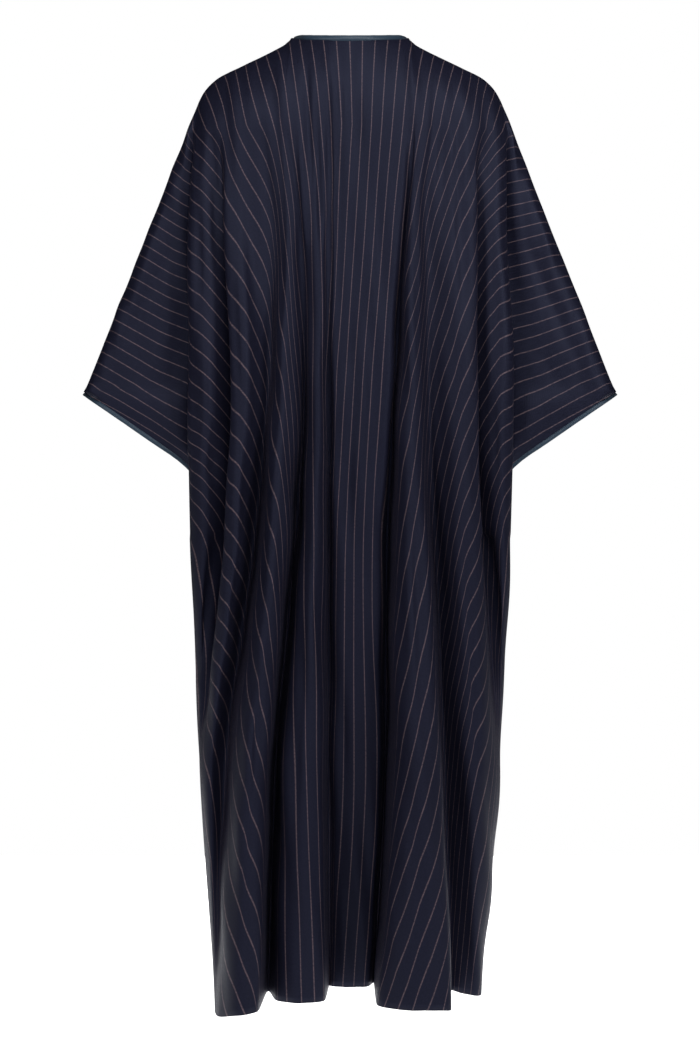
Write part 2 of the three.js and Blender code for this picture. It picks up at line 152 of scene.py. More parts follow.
# One front, from its sleeve to its free edge, with x and the pinstripes counted outwards
FRONT_FOLDS = [
    ("sleeve crease", [226, 211, 213, 210, 208, 184], [32, 36, 34, 22, 20],
     [15.2, 23.8, 35.5, 44.2, 40.6, 40.6]),
    ("outer fold edge", [221, 227, 229, 226, 212, 187], [62, 75, 60, 40, 40],
     [14.9, 21.5, 29.9, 39.8, 40.4, 40.4]),
    ("outer fold face", [205, 204, 202, 206, 210, 190], [86, 99, 92, 64, 66],
     [14.1, 20.3, 28.6, 38.0, 39.6, 39.8]),
    ("outer fold trough", [190, 172, 164, 180, 204, 188], [74, 66, 58, 78, 94],
     [13.2, 18.8, 26.5, 35.0, 38.2, 38.8]),
    ("side fold edge", [172, 168, 162, 172, 190, 182], [100, 108, 112, 112, 130],
     [12.0, 15.3, 20.3, 26.5, 33.5, 36.5]),
    ("side fold face", [152, 148, 142, 148, 160, 158], [116, 128, 140, 150, 168],
     [10.5, 13.4, 18.0, 24.0, 31.0, 34.0]),
    ("side fold back", [132, 128, 122, 124, 130, 128], [114, 116, 122, 130, 150],
     [9.1, 11.4, 15.4, 21.0, 27.5, 30.5]),
    ("breast trough", [112, 108, 108, 112, 120, 116], [104, 90, 70, 60, 56],
     [7.4, 8.8, 12.0, 16.0, 20.8, 23.0]),
    ("breast fold face", [89.4, 82, 80, 84, 92, 92], [122, 126, 130, 138, 150],
     [5.6, 6.4, 8.6, 11.2, 14.4, 16.0]),
    ("breast fold back", [70, 62, 58, 60, 64, 66], [118, 120, 122, 128, 136],
     [4.3, 4.9, 6.6, 8.6, 11.0, 12.4]),
    ("inner trough", [52, 46, 44, 44, 46, 48], [112, 98, 80, 66, 60],
     [3.1, 3.4, 4.4, 5.5, 7.0, 8.0]),
    ("inner fold face", [34, 30, 28, 28, 31, 33], [120, 118, 116, 118, 122],
     [2.0, 2.1, 2.5, 3.0, 3.6, 4.1]),
    ("front edge", [13, 13, 13, 14, 17, 20], [117, 112, 104, 100, 100],
     [0.8, 0.8, 0.8, 0.8, 0.8, 0.8]),
]
FRONTS = [
    {"side": "left", "sign": -1, "shift": 0, "relief": 1},
    {"side": "right", "sign": 1, "shift": 6, "relief": 0.94},
]
FRONT_MEAN_DEPTH = 115
FRONT_MIDDLE = 97

# Pinstripe numbers along the shoulder line, x to number, and down the outer border, z to number
SHOULDER_STRIPES = [
    (-222, 14.1), (-210, 13), (-182, 11), (-151, 9), (-122.4, 7), (-89, 5), (-55.5, 3), (-19.4, 1),
    (-0.5, 0), (18, -1), (53.1, -3), (89.9, -5), (122, -7), (151, -9), (180, -11.4), (210, -14),
    (222, -14.9),
]
BORDER_STRIPES = [
    (-106, 14.1), (-440, 35.8), (-500, 39.7), (-518, 40.9), (-545, 41.3), (-680, 43), (-700, 46.3),
    (-760, 46.2), (-1060, 42.6), (-LENGTH, 42.6),
]

# The finishes' patterns, weft by warp on the cloth and across by along on the strips. The heather, the
# flecks and the twill are finer on real suiting, and are drawn as coarse as they need to be to show.
PINSTRIPE_PITCH = 17.3  # along the weft, from one pinstripe to the next
PINSTRIPE = {"core": 0.35, "edge": 1.05}  # off its middle, where it is full and where it ends
PINSTRIPE_FLECK = (1.11, 2.38)
HEATHER = (1.79, 3.33)
TWILL = {"pitch": 1.1, "slant": 0.7}
WORN_PATCH = 143
SATIN_RIB = 0.9
SATIN_STREAK = (0.385, 16.7)
SATIN_PUCKER = 11.1
THREAD_TWIST = 0.625
FLOOR_MOTTLE = 500

# Lamps in metres: place, target, size and watts
LAMPS = {
    "left": ((-1.3, -1.8, 0.5), (0, 0, -0.4), (0.7, 0.9), 11),
    "right": ((1.5, -1.7, 0.5), (0, 0, -0.4), (0.7, 0.9), 14),
    "high": ((0.3, -1.6, 1.3), (0, 0, -0.35), (0.8, 0.6), 14),
    "front_fill": ((0, 3.0, -0.3), (0, 0, -0.6), (1.2, 1.4), 100),
    "floor_wash": ((0, 1.4, -1.2), (0, 1.41, -1.6), (4.2, 1.8), 32),
}
FLOOR = {"half": 2300, "drop": 200}  # the hem hangs at the ankle
# The camera in metres, with the photograph's height in pixels, metres a pixel and the sensor in millimetres
CAMERA = {"distance": 2.8, "height": -0.71, "photo_height": 1050, "scale": 1.45 * MM, "sensor": 36}

SLEEVE_SHARES = [0, 0.07, 0.24, 0.58]  # places between the seam and the sleeve crease
STEPS = 7  # cuts between two lines of a fold table
ROW_PITCH = 9
TOP_ROWS = 22
BACK_TOP = -150  # where the rows stop following the shoulders and lie level
FRONT_TOP = -215

TIP = SHOULDER[-1]
CUFF_TIP = CUFF_EDGE[0]
UNDERARM = CUFF_EDGE[-1]
GAP = SEAM_GAP / 2


def mix(a, b, t):
    return a + (b - a) * t


def round_off(t):
    return np.sqrt(1 - (1 - np.clip(t, 0, 1)) ** 2)


def through(knots, values, at):
    """Rows of values at places between knots, on a smooth curve that doesn't overshoot."""
    knots = np.asarray(knots, float)
    at = np.atleast_1d(np.asarray(at, float))
    if knots[0] > knots[-1]:
        knots, at = -knots, -at
    values = np.asarray(values, float).reshape(len(knots), -1)
    span = np.diff(knots)[:, None]
    slope = np.diff(values, axis=0) / span
    before, after = slope[:-1], slope[1:]
    agree = before * after > 0
    mean = np.where(agree, 2 * before * after / np.where(agree, before + after, 1), 0)
    tangent = np.vstack([slope[:1], mean, slope[-1:]])
    i = np.clip(np.searchsorted(knots, at) - 1, 0, len(knots) - 2)
    t = np.clip((at - knots[i]) / span[i, 0], 0, 1)[:, None]
    t2, t3 = t**2, t**3
    return (
        (2 * t3 - 3 * t2 + 1) * values[i]
        + (t3 - 2 * t2 + t) * span[i] * tangent[i]
        + (3 * t2 - 2 * t3) * values[i + 1]
        + (t3 - t2) * span[i] * tangent[i + 1]
    )


def in_table(table, at):
    return through([row[0] for row in table], [row[1] for row in table], at)[:, 0]


def overarm(z):
    return TIP[0] + (TIP[1] - z) * SLEEVE["slope"]


def sleeve_depth(x, z):
    inside = (overarm(z) - x) / math.hypot(1, SLEEVE["slope"])
    closing = round_off((z - UNDERARM[0]) / UNDERARM_CLOSING)
    return SLEEVE["half_depth"] * round_off(inside / SLEEVE["rounding"]) * closing


def border(z):
    """Place across, depth and pinstripe of a panel's outer border: arm seam, sleeve opening, side seam."""
    at_cuff = (z < CUFF_TIP[0]) & (z > UNDERARM[0])
    below = np.where(at_cuff, in_table(CUFF_EDGE, z), in_table(SIDE_SEAM, z))
    x = np.where(z >= CUFF_TIP[0], overarm(z), below)
    return x, np.where(at_cuff, sleeve_depth(x, z), 0), in_table(BORDER_STRIPES, z)


class FoldLine:
    """One line of a fold table. It runs down from its apex, on the shoulder seam or the neck's ring."""

    def __init__(self, row, yoke_depth, neck_drop, cut_top=None):
        _, self.x, below, self.stripes = row
        reach = abs(self.x[0]) / YOKE["half"]
        self.d = [yoke_depth * math.sqrt(1 - reach ** YOKE["power"]), *below]
        self.apex_x = self.x[0] * TIP[0] / YOKE["half"]
        self.rise = math.sqrt(max(0, 1 - (self.apex_x / NECK["half"]) ** 2))
        self.apex_d = NECK["back_depth"] * self.rise
        on_shoulder = in_table(SHOULDER, abs(self.apex_x))[0]
        self.apex_z = NECK["side"] - neck_drop * self.rise if self.rise > 0 else on_shoulder
        self.top = cut_top(self) if cut_top else self.apex_z
        self.top_stripe = in_table(SHOULDER_STRIPES, -self.apex_x if cut_top else self.apex_x)[0]

    def at(self, z):
        """Rows of place across, depth and pinstripe number at heights."""
        below = through(LEVELS, np.stack([self.x, self.d, self.stripes], axis=1), z)
        t = np.clip((self.apex_z - z) / (self.apex_z - YOKE["z"]), 0, 1)
        bulge = mix(round_off(t), t * (2 - t), self.rise)
        above = np.stack([
            mix(self.apex_x, self.x[0], t),
            mix(self.apex_d, self.d[0], bulge),
            mix(self.top_stripe, self.stripes[0], t),
        ], axis=1)
        return np.where((z <= YOKE["z"])[:, None], below, above)


def front_cut(line):
    """Where a front is cut off: along the V neck, or at the shoulder seam."""
    if line.apex_x >= NECK["half"]:
        return line.apex_z
    down = (NECK["half"] - line.apex_x) / (NECK["half"] - V_NECK["half_opening"])
    return mix(NECK["side"], V_NECK["bottom"], min(1, down) ** V_NECK["curve"])


def sleeve_points(sign, crease, heights, seam):
    """Columns of x, d, z and pinstripe from the border in to the sleeve crease."""
    edge_x, edge_d, edge_stripe = border(seam)
    rising = np.clip((seam - UNDERARM[0]) / DIP_RUN, 0, 1) * np.clip((TIP[1] - seam) / DIP_FADE, 0, 1)
    level = crease[:, 1] + SLEEVE["dip"] * rising
    at_cuff = (seam < CUFF_TIP[0]) & (seam > UNDERARM[0])
    columns = []
    for share in SLEEVE_SHARES:
        x = mix(edge_x, np.abs(crease[:, 0]), share)
        z = mix(seam, heights, share)
        flat = np.where(seam > UNDERARM[0], np.minimum(level, sleeve_depth(x, z)), 0)
        inner = np.maximum(mix(edge_d, level, np.where(at_cuff, share, math.sqrt(share))), flat)
        d = edge_d if share == 0 else inner
        stripe = mix(edge_stripe, np.abs(crease[:, 2]), share)
        columns.append(np.stack([sign * x, d, z, stripe * np.sign(crease[0, 2])], axis=1))
    return columns


def row_heights(lines, top):
    """The rows' heights at the seam and at each line: down from the lines' tops, then level."""
    shares = np.linspace(0, 1, TOP_ROWS, endpoint=False) ** 2
    tops = np.array([line.top for line in lines])
    upper = mix(tops[None, :], top, shares[:, None])
    marks = [top, CUFF_TIP[0], UNDERARM[0], -LENGTH]
    steps = [np.linspace(a, b, round((a - b) / ROW_PITCH), endpoint=False) for a, b in zip(marks, marks[1:])]
    level = np.concatenate([*steps, [-LENGTH]])
    seam = np.concatenate([mix(TIP[1], top, shares), level])
    return seam, np.vstack([upper, np.repeat(level[:, None], len(lines), axis=1)])


def sample_rows(columns, seam_at_end):
    """Smooth curves along the rows. At a seam they go on into their mirror image."""

    def beyond(at, following):
        mirrored = following * [1, -1, 1, 1]
        straight = 2 * at - following
        mirrored[:, 3] = straight[:, 3]
        return np.where(at[:, 1:2] == 0, mirrored, straight)

    last = len(columns) - 1
    chain = [beyond(columns[0], columns[1]), *columns]
    if seam_at_end:
        chain.append(beyond(columns[-1], columns[-2]))
    chain = np.stack(chain)
    knots = np.arange(len(chain)) - 1
    at = np.arange(last * STEPS + 1) / STEPS
    rows = chain.shape[1]
    return through(knots, chain.reshape(len(chain), -1), at).reshape(len(at), rows, 4).transpose(1, 0, 2)


def panel_points(lines, top, is_back):
    """A panel's outer face as rows and columns of x, y, z and pinstripe number, in millimetres."""
    seam, heights = row_heights(lines, top)
    across = []
    for i, line in enumerate(lines):
        x_d_stripe = line.at(heights[:, i])
        across.append(np.insert(x_d_stripe, 2, heights[:, i], axis=1))
    first, last = across[0][:, [0, 1, 3]], across[-1][:, [0, 1, 3]]
    columns = [*sleeve_points(-1 if is_back else 1, first, heights[:, 0], seam), *across]
    if is_back:
        columns += sleeve_points(1, last, heights[:, -1], seam)[::-1]
    points = sample_rows(columns, is_back)
    points[..., 1] = np.maximum(GAP, points[..., 1]) * (-1 if is_back else 1)
    return points


def let_down_hem(points):
    """The hem hangs unevenly, and the seams join back and fronts at one level."""
    drop = in_table(HEM, points[..., 0].ravel()).reshape(points.shape[:2])
    points[..., 2] -= drop * np.clip((HEM_ZONE - LENGTH - points[..., 2]) / HEM_ZONE, 0, 1) ** 2


def grid_normals(points, outwards):
    """Unit directions square to the cloth, which on a seam lie in the seam's plane."""
    p = points[..., :3]
    square = np.cross(p[1:, 1:] - p[:-1, :-1], p[:-1, 1:] - p[1:, :-1])
    square /= np.maximum(np.linalg.norm(square, axis=2, keepdims=True), 1e-9)
    normals = np.zeros_like(p)
    for rows in (slice(0, -1), slice(1, None)):
        for columns in (slice(0, -1), slice(1, None)):
            normals[rows, columns] += square * outwards
    normals[np.abs(p[..., 1]) <= GAP, 1] = 0
    return normals / np.maximum(np.linalg.norm(normals, axis=2, keepdims=True), 1e-9)


# Soft creases: from x, z to x, z, half the width, and the height, which is below 0 in a trough.
BACK_CREASES = [
    (-53, -82, -39, -640, 6, 3.4),
    (188, -680, 213, -905, 6, -9),
    (-184, -690, -214, -930, 6, -8),
    (-33, -270, -28, -640, 4, -5.0),
    (-14, -84, -10, -170, 3, -3.4),
    (19, -50, 13, -200, 3, -3.6),
    (-21, -545, 12, -430, 5, -5.0),
    (-72, -130, -60, -330, 4, 3.4),
    (149, -118, 122, -226, 4, -4.6),
    (181, -180, 142, -345, 5, -3.6),
    (-62, -60, -52, -250, 5, -5.4),
    (-49, -90, -40, -330, 4, -4.7),
    (-31, -70, -27, -260, 5, -4.3),
    (-16, -120, -14, -420, 6, -4.7),
    (7, -100, 4, -380, 7, -3.6),
    (4, -520, -4, -760, 8, -6.3),
    (20, -430, 10, -700, 9, 4.7),
    (44, -150, 40, -420, 6, -3.2),
    (60, -380, 44, -700, 6, 4.0),
    (122, -90, 108, -260, 6, -4.0),
    (134, -110, 124, -330, 6, -4.7),
    (152, -120, 150, -300, 5, -5.8),
    (160, -200, 152, -520, 8, -4.3),
    (-126, -130, -108, -300, 7, -4.3),
    (-142, -160, -128, -420, 9, -4.0),
    (-150, -330, -140, -620, 7, 4.0),
    (-196, -150, -186, -360, 6, -4.7),
    (-214, -250, -214, -470, 6, -3.6),
    (-196, -420, -204, -640, 7, 4.3),
    (-188, -560, -202, -700, 6, -5.0),
    (206, -330, 206, -560, 7, -4.3),
    (200, -520, 208, -700, 6, -4.7),
    (-96, -560, -120, -900, 8, 3.6),
    (-112, -820, -146, -1240, 9, -4.7),
    (-60, -760, -80, -1180, 8, -4.0),
    (90, -620, 100, -1010, 9, -4.3),
    (96, -980, 112, -1330, 10, 4.3),
    (160, -700, 176, -1060, 9, -5.0),
    (-6, -820, -12, -1260, 8, -4.7),
    (-250, -300, -330, -470, 7, -4.7),
    (-262, -420, -300, -540, 8, 4.3),
    (-238, -360, -250, -560, 7, -4.3),
    (250, -300, 326, -480, 7, -4.7),
    (240, -380, 262, -570, 8, 4.3),
    (264, -440, 300, -520, 6, -4.0),
]
FRONT_CREASES = [
    (100, -60, 92, -240, 6, -2.6),
    (140, -90, 126, -330, 7, -2.4),
    (160, -200, 150, -520, 8, -2.4),
    (196, -150, 188, -360, 6, -2.4),
    (72, -120, 66, -380, 6, 2.2),
    (56, -300, 50, -640, 6, -2.2),
    (34, -420, 30, -760, 6, -2.0),
    (96, -600, 104, -1000, 9, -2.4),
    (60, -820, 66, -1240, 8, 2.2),
    (150, -700, 168, -1100, 9, -2.6),
    (30, -900, 32, -1280, 7, -2.0),
    (252, -310, 330, -480, 7, -2.6),
    (240, -380, 268, -560, 8, 2.4),
]
# Broad unevenness of the hanging cloth: height, wavelength across, wavelength down and phase
SWAY = [(0.9, 61, 310, 0.4), (0.7, 37, 190, 2.1), (0.5, 23, 420, 4.0)]
# Runs over which creases and sway fade in: from a seam, from the sleeve opening, above it, and from the top
FADE = {"seam": 25, "cuff": 30, "above_cuff": 60, "top": 35}


def crease_height(points, creases, mirror=1):
    """How far the listed creases and the sway move each point of the cloth outwards."""
    x, z = points[..., 0] * mirror, points[..., 2]
    height = np.zeros(x.shape)
    for x0, z0, x1, z1, half_width, rise in creases:
        run = np.array([x1 - x0, z1 - z0], float)
        length = np.hypot(*run)
        along = ((x - x0) * run[0] + (z - z0) * run[1]) / length**2
        off = np.abs((x - x0) * run[1] - (z - z0) * run[0]) / length
        fade = np.sin(np.pi * np.clip(along, 0, 1)) ** 0.8
        height += rise * np.exp(-((off / half_width) ** 2)) * fade
    for rise, across, down, phase in SWAY:
        height += rise * np.sin(2 * np.pi * (x / across + z / down) + phase)
    from_seam = np.clip((np.abs(points[..., 1]) - GAP) / FADE["seam"], 0, 1)
    cuff_x = in_table(CUFF_EDGE, z.ravel()).reshape(z.shape)
    from_cuff = np.clip((cuff_x - np.abs(x)) / FADE["cuff"], 0, 1)
    beside_cuff = (z < CUFF_TIP[0] + FADE["above_cuff"]) & (z > UNDERARM[0])
    below_top = np.clip((points[:1, :, 2] - z) / FADE["top"], 0, 1)
    return height * from_seam * below_top * np.where(beside_cuff, from_cuff, 1)


def settle(points, normals, outwards, height, passes=2):
    """Cloth moved by its creases, then eased so that no hard line is left between the tables' levels."""
    points = points.copy()
    points[..., :3] += normals * height[..., None]
    for _ in range(passes):
        depth = points[1:-1, :, 1]
        mean = (points[:-2, :, 1] + points[2:, :, 1]) / 2
        points[1:-1, :, 1] = np.where(np.abs(depth) <= GAP, depth, mix(depth, mean, 0.5))
    return points, grid_normals(points, outwards)


# Kinds of node and settings that the finishes share
MATH, MIX = "ShaderNodeMath", "ShaderNodeMix"
MULTIPLY = {"operation": "MULTIPLY"}
MULTIPLY_ADD = {"operation": "MULTIPLY_ADD"}
SINE = {"operation": "SINE"}
NEAREST = {"operation": "PINGPONG"}
COLOURS = {"data_type": "RGBA"}
SMOOTH = {"interpolation_type": "SMOOTHSTEP"}
WEAVE = {"uv_map": "weave"}


def linear(code):
    """Scene-linear colour of an sRGB hex code."""
    channels = [int(code[i : i + 2], 16) / 255 for i in (1, 3, 5)]
    return [c / 12.92 if c <= 0.04045 else ((c + 0.055) / 1.055) ** 2.4 for c in channels] + [1]


def new_material(name):
    material = bpy.data.materials.new(name)
    material.use_nodes = True
    tree = material.node_tree
    tree.nodes.clear()
    return material, tree


def add(tree, kind, settings=None, **links):
    """Adds a node. Its inputs, by name or index, take a node, one of its outputs or a plain value."""
    node = tree.nodes.new(kind)
    for name, value in (settings or {}).items():
        setattr(node, name, value)
    for name, value in links.items():
        socket = node.inputs[int(name[1:])] if name[0] == "i" and name[1:].isdigit() else node.inputs[name]
        if isinstance(value, bpy.types.Node):
            value = value.outputs[0]
        if isinstance(value, bpy.types.NodeSocket):
            tree.links.new(value, socket)
        else:
            socket.default_value = value
    return node


def per_metre(*sizes):
    """How often patterns of these sizes repeat in a metre."""
    return [1 / (size * MM) for size in sizes]


def pinstripes(tree, weave, weft):
    """Share of pinstripe at each place: soft-edged lines, broken up by the yarns."""
    off_line = add(tree, MATH, NEAREST, i0=weft, i1=PINSTRIPE_PITCH / 2 * MM)
    line = add(tree, "ShaderNodeMapRange", SMOOTH, i0=off_line, i1=PINSTRIPE["edge"] * MM,
               i2=PINSTRIPE["core"] * MM, i3=0, i4=1)
    fleck_place = add(tree, "ShaderNodeMapping", Vector=weave, Scale=[*per_metre(*PINSTRIPE_FLECK), 1])
    fleck = add(tree, "ShaderNodeTexNoise", Vector=fleck_place, Scale=1, Detail=2)
    broken = add(tree, "ShaderNodeMapRange", i0=fleck, i1=0.32, i2=0.58, i3=0.25, i4=1)
    return add(tree, MATH, MULTIPLY, i0=line, i1=broken)


def twill_relief(tree, weft, warp, heather, stripe):
    """The cloth's raised grain: slanted twill lines, fuzzier where it is heathered, higher at a pinstripe."""
    slanted = add(tree, MATH, MULTIPLY_ADD, i0=warp, i1=TWILL["slant"], i2=weft)
    turns = add(tree, MATH, MULTIPLY, i0=slanted, i1=2 * math.pi / (TWILL["pitch"] * MM))
    twill = add(tree, MATH, SINE, i0=turns)
    fuzz = add(tree, MATH, MULTIPLY, i0=heather, i1=0.75)
    grain = add(tree, MATH, MULTIPLY_ADD, i0=twill, i1=0.25, i2=fuzz)
    return add(tree, MATH, MULTIPLY_ADD, i0=stripe, i1=0.35, i2=grain)


def suiting_material():
    """Navy worsted: fine twill, a cool sheen where the folds turn, and taupe pinstripes along the warp."""
    material, tree = new_material("worsted_suiting")
    weave = add(tree, "ShaderNodeUVMap", WEAVE)
    weft, warp, _ = add(tree, "ShaderNodeSeparateXYZ", i0=weave).outputs
    stripe = pinstripes(tree, weave, weft)
    heather_place = add(tree, "ShaderNodeMapping", Vector=weave, Scale=[*per_metre(*HEATHER), 1])
    heather = add(tree, "ShaderNodeTexNoise", Vector=heather_place, Scale=1, Detail=3)
    place = add(tree, "ShaderNodeTexCoord").outputs["Object"]
    wear = add(tree, "ShaderNodeTexNoise", Vector=place, Scale=per_metre(WORN_PATCH)[0], Detail=4)
    worn = add(tree, MATH, MULTIPLY, i0=wear, i1=0.35)
    navy = add(tree, MIX, COLOURS, i0=heather, i6=linear("#0b0b18"), i7=linear("#29293d")).outputs[2]
    navy = add(tree, MIX, COLOURS, i0=worn, i6=navy, i7=linear("#26263a")).outputs[2]
    colour = add(tree, MIX, COLOURS, i0=stripe, i6=navy, i7=linear("#78666c")).outputs[2]
    relief = twill_relief(tree, weft, warp, heather, stripe)
    bump = add(tree, "ShaderNodeBump", Strength=0.35, Distance=0.35 * MM, Height=relief)
    rough = add(tree, "ShaderNodeMapRange", i0=heather, i1=0.3, i2=0.7, i3=0.5, i4=0.62)
    shader = add(tree, "ShaderNodeBsdfPrincipled", **{
        "Base Color": colour, "Roughness": rough, "Normal": bump,
        "Specular IOR Level": 0.42, "Specular Tint": linear("#bcc6ee"),
        "Sheen Weight": 0.02, "Sheen Roughness": 0.4, "Sheen Tint": linear("#8890b0")})
    add(tree, "ShaderNodeOutputMaterial", i0=shader)
    return material


def satin_material():
    """Slate-blue satin binding: smooth, with fine ribs across the strip and a soft streaked gleam."""
    material, tree = new_material("satin_binding")
    weave = add(tree, "ShaderNodeUVMap", WEAVE)
    along = add(tree, "ShaderNodeSeparateXYZ", i0=weave).outputs[1]
    turns = add(tree, MATH, MULTIPLY, i0=along, i1=2 * math.pi / (SATIN_RIB * MM))
    ribs = add(tree, MATH, SINE, i0=turns)
    streak_place = add(tree, "ShaderNodeMapping", Vector=weave, Scale=[*per_metre(*SATIN_STREAK), 1])
    streak = add(tree, "ShaderNodeTexNoise", Vector=streak_place, Scale=1, Detail=3)
    place = add(tree, "ShaderNodeTexCoord").outputs["Object"]
    pucker = add(tree, "ShaderNodeTexNoise", Vector=place, Scale=per_metre(SATIN_PUCKER)[0], Detail=2)
    colour = add(tree, MIX, COLOURS, i0=streak, i6=linear("#2f4356"), i7=linear("#43586c")).outputs[2]
    soft = add(tree, MATH, MULTIPLY, i0=pucker, i1=0.8)
    relief = add(tree, MATH, MULTIPLY_ADD, i0=ribs, i1=0.2, i2=soft)
    bump = add(tree, "ShaderNodeBump", Strength=0.3, Distance=0.4 * MM, Height=relief)
    rough = add(tree, "ShaderNodeMapRange", i0=streak, i1=0.3, i2=0.7, i3=0.34, i4=0.5)
    shader = add(tree, "ShaderNodeBsdfPrincipled", **{
        "Base Color": colour, "Roughness": rough, "Normal": bump, "Specular IOR Level": 0.5,
        "Sheen Weight": 0.1})
    add(tree, "ShaderNodeOutputMaterial", i0=shader)
    return material


def thread_material():
    """Matt cotton thread of the binding's seam, a shade darker than the satin, with its twist."""
    material, tree = new_material("sewing_thread")
    place = add(tree, "ShaderNodeTexCoord").outputs["Object"]
    twist = add(tree, "ShaderNodeTexNoise", Vector=place, Scale=per_metre(THREAD_TWIST)[0], Detail=2)
    colour = add(tree, MIX, COLOURS, i0=twist, i6=linear("#202c3b"), i7=linear("#344659")).outputs[2]
    bump = add(tree, "ShaderNodeBump", Strength=0.4, Distance=0.1 * MM, Height=twist)
    shader = add(tree, "ShaderNodeBsdfPrincipled", **{
        "Base Color": colour, "Roughness": 0.7, "Normal": bump})
    add(tree, "ShaderNodeOutputMaterial", i0=shader)
    return material


def floor_material():
    """Pale matt floor with a faint mottle and a slight glow of its own, like a light table."""
    material, tree = new_material("pale_floor")
    place = add(tree, "ShaderNodeTexCoord").outputs["Object"]
    mottle = add(tree, "ShaderNodeTexNoise", Vector=place, Scale=per_metre(FLOOR_MOTTLE)[0], Detail=3)
    colour = add(tree, MIX, COLOURS, i0=mottle, i6=linear("#f4f4f4"), i7=linear("#fbfbfb")).outputs[2]
    shader = add(tree, "ShaderNodeBsdfPrincipled", **{
        "Base Color": colour, "Roughness": 0.9, "Specular IOR Level": 0.1,
        "Emission Color": colour, "Emission Strength": 0.25})
    add(tree, "ShaderNodeOutputMaterial", i0=shader)
    return material


def make_object(name, vertices, faces, material, weave=None):
    """A smooth-shaded mesh object at the origin. vertices are in millimetres, weave is a UV in metres."""
    mesh = bpy.data.meshes.new(name)
    mesh.from_pydata((np.asarray(vertices) * MM).tolist(), [], faces)
    mesh.materials.append(material)
    mesh.polygons.foreach_set("use_smooth", [True] * len(mesh.polygons))
    if weave is not None:
        loops = np.empty(len(mesh.loops), dtype=np.int32)
        mesh.loops.foreach_get("vertex_index", loops)
        mesh.uv_layers.new(name="weave").data.foreach_set("uv", (weave[loops] * MM).ravel())
    mesh.update()
    obj = bpy.data.objects.new(name, mesh)
    bpy.context.scene.collection.objects.link(obj)
    return obj


def ring_faces(rings, count, closed):
    """Faces through rings of count points each, with a cap at both ends of an open sweep."""
    faces = []
    for r in range(rings if closed else rings - 1):
        a, b = r * count, (r + 1) % rings * count
        faces += [(a + i, b + i, b + (i + 1) % count, a + (i + 1) % count) for i in range(count)]
    if not closed:
        end = (rings - 1) * count
        half = range(count // 2 - 1)
        faces += [(i, i + 1, count - 2 - i, count - 1 - i) for i in half]
        faces += [(end + count - 1 - i, end + count - 2 - i, end + i + 1, end + i) for i in half]
    return faces


def cloth_object(name, panel, material):
    """A panel as a thin closed wall: its outer face, and the same face moved in by the cloth."""
    points, normals = panel["points"], panel["normals"]
    inner = points[..., :3] - normals * CLOTH
    side = panel["facing"]
    inner[..., 1] = side * np.maximum(GAP, inner[..., 1] * side)
    rings = np.concatenate([points[..., :3], inner[:, ::-1]], axis=1)
    weave = np.stack([points[..., 3] * PINSTRIPE_PITCH, -points[..., 2]], axis=2)
    weave = np.concatenate([weave, weave[:, ::-1]], axis=1).reshape(-1, 2)
    faces = ring_faces(len(rings), rings.shape[1], closed=False)
    if panel["turned"]:
        faces = [face[::-1] for face in faces]
    return make_object(name, rings.reshape(-1, 3), faces, material, weave)


def open_air(edge, normals, side):
    """Unit directions that lead off the cloth's edge, in the cloth's own plane."""
    along = np.roll(edge, -1, axis=0) - np.roll(edge, 1, axis=0)
    along[0], along[-1] = edge[1] - edge[0], edge[-1] - edge[-2]
    out = np.cross(normals, along) * side
    return out / np.linalg.norm(out, axis=1, keepdims=True)


def upright(edge):
    """Directions up from the neck's ring and leaning in, shorter at its ends, and the ones square to them."""
    inward = -edge * [1, 1, 0]
    inward /= np.linalg.norm(inward, axis=1, keepdims=True)
    lean = NECK_STAND["lean"]
    up = np.array([0, 0, 1])
    from_point = (NECK["half"] + 1 - np.abs(edge[:, :1])) / NECK_STAND["run"]
    height = np.maximum(NECK_STAND["least"], round_off(from_point)) / math.hypot(1, lean)
    return (up + inward * lean) * height, (up * lean - inward) / math.hypot(1, lean)


def run_along(edge):
    return np.cumsum([0, *np.linalg.norm(np.diff(edge, axis=0), axis=1)])


def from_upright(edge, out, normals):
    """Directions of a front's binding, which stands up at the shoulder point and lies down along the V."""
    up, outward = upright(edge)
    share = np.clip(run_along(edge) / V_LIE, 0, 1)[:, None]
    facing = mix(outward, normals, share)
    return mix(up, out, share), facing / np.linalg.norm(facing, axis=1, keepdims=True)


def off_sleeve(loop, sign):
    """Directions along the sleeve off its opening, and the ones square to the opening's edge, outwards."""
    out = np.broadcast_to([sign * CUFF_OUT[0], 0, CUFF_OUT[1]], loop.shape)
    square = np.cross(np.roll(loop, -1, axis=0) - np.roll(loop, 1, axis=0), out)
    square *= np.sign(np.sum(square * (loop - loop.mean(axis=0))))
    return out, square / np.linalg.norm(square, axis=1, keepdims=True)


